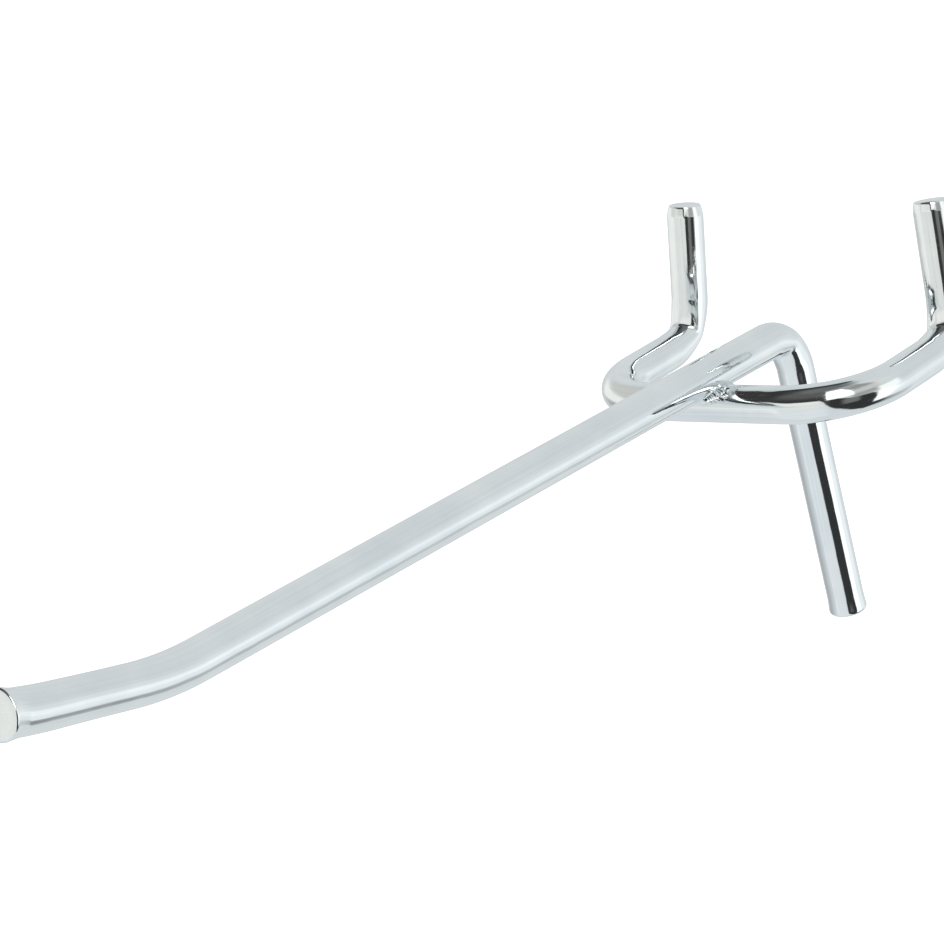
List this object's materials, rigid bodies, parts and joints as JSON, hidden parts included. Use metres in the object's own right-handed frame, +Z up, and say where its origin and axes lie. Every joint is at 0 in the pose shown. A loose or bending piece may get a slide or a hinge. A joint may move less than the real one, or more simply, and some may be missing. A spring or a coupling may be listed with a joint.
{
  "type": "pegboard hook",
  "caption": "Bright-plated steel wire pegboard hook: a long straight arm with a raised tip and a rear leg, welded to a U-shaped wire whose ends turn up into prongs.",
  "frame": {"origin": "midway between the feet of the two prongs, on the wire's axis, where the hook meets the board", "axes": "+Z up along the board, +Y back into the board, the arm reaches out along -Y, +X to the hook's right"},
  "size_m": [0.056, 0.1895, 0.0678],
  "materials": {
    "plated_wire": "drawn steel wire, bright plated, mirror-like with faint drawing lines"
  },
  "bodies": {
    "root": {"arm_wire": "plated_wire", "prong_wire": "plated_wire"}
  },
  "joints": []
}
